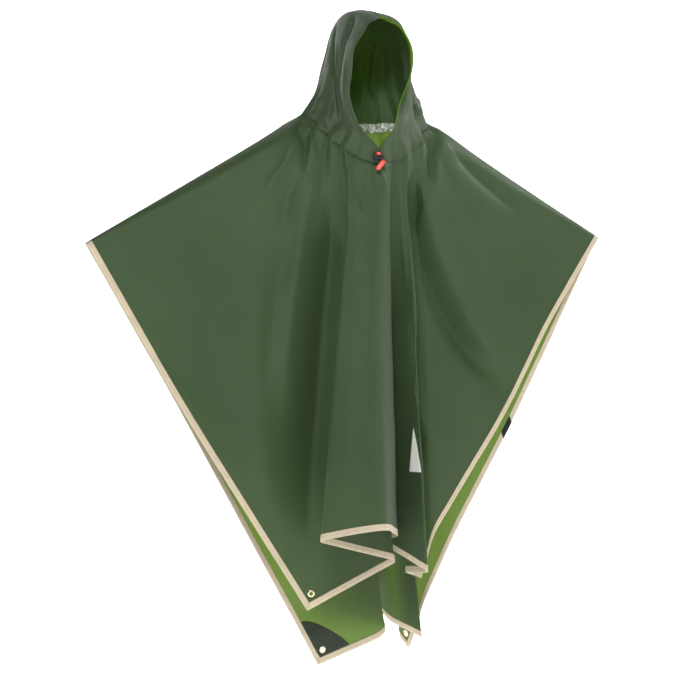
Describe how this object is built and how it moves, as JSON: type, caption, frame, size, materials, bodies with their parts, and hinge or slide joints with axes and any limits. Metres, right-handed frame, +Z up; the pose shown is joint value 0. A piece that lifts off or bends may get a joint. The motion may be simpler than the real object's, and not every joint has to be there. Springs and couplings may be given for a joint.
{
  "type": "rain poncho",
  "caption": "Hooded rain poncho in coated cloth, bound all round, worn with the arms held out and the hood up, with a drawcord and a lock under the chin.",
  "frame": {"origin": "centre of the neck opening, where the poncho rests on its wearer's shoulders", "axes": "+Z up, the front faces -Y, +X towards the wearer's left arm"},
  "size_m": [1.2732, 0.5356, 1.544],
  "materials": {
    "cloth": "coated woven polyester, faint sheen",
    "binding": "woven tape, matt",
    "tape": "heat-sealed film, glossy",
    "webbing": "woven webbing, matt",
    "metal": "satin",
    "lock": "moulded, matt",
    "red": "moulded, soft gloss",
    "cord": "braided cord"
  },
  "bodies": {
    "root": {"front": "cloth", "back": "cloth", "hood_left": "cloth", "hood_right": "cloth", "hood_casing_left": "cloth", "hood_casing_right": "cloth", "corner_patch_left": "cloth", "binding_front_left": "binding", "binding_front_hem": "binding", "binding_front_right": "binding", "binding_back_left": "binding", "binding_back_hem": "binding", "binding_back_right": "binding", "neck_tape": "tape", "side_tab": "webbing", "eyelet_front_left": "metal", "eyelet_front_right": "metal", "eyelet_back_left": "metal", "eyelet_back_right": "metal", "cord_lock_body": "lock", "cord_lock_button": "red", "cord_end": "red", "drawcord_left": "cord", "drawcord_right": "cord"}
  },
  "joints": []
}
